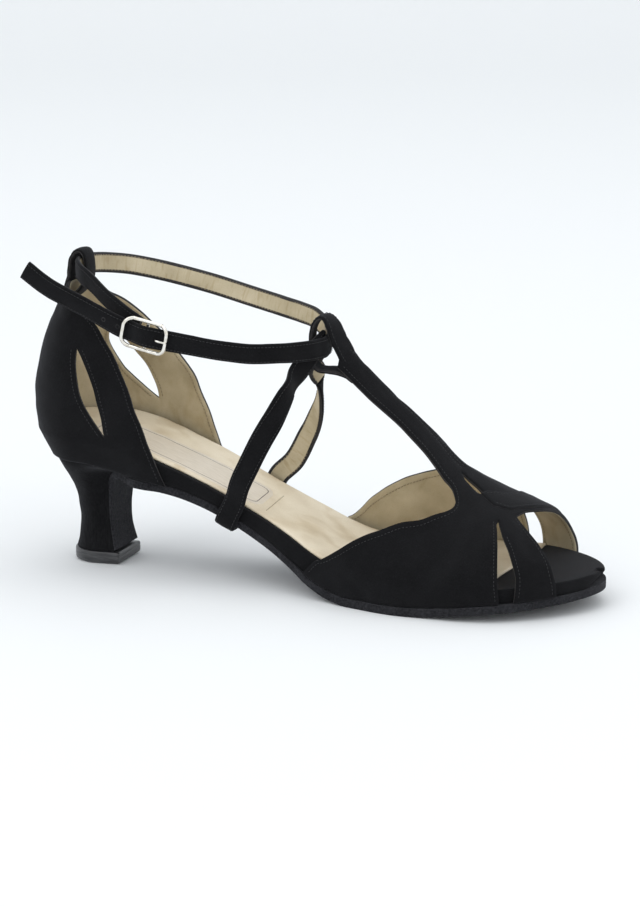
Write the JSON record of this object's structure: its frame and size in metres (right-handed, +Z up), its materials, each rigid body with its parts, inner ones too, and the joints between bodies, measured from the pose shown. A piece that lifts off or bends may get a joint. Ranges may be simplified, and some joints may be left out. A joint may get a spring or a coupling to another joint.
{
  "type": "ballroom dance shoe",
  "caption": "Open ballroom dance sandal for the right foot: T-bar, crossed toe straps, cut-out heel counter, buckled ankle strap, arch strap and a flared heel.",
  "frame": {"origin": "middle of the top lift's flat underside, on the floor", "axes": "+X towards the toe, +Y towards the inner side of the foot, +Z up"},
  "size_m": [0.2393, 0.0828, 0.1289],
  "materials": {
    "black_suede": "napped suede",
    "sole_suede": "brushed split suede",
    "cream_leather": "smooth matte",
    "lift_plastic": "moulded satin",
    "nickel": "polished nickel plate"
  },
  "bodies": {
    "root": {"outsole": "sole_suede", "insole_board": "black_suede", "sock_lining": "cream_leather", "heel_block": "black_suede", "top_lift": "lift_plastic", "upper_front": "black_suede", "upper_counter": "black_suede", "ankle_strap": "black_suede", "arch_strap": "black_suede", "buckle_frame": "nickel"}
  },
  "joints": []
}
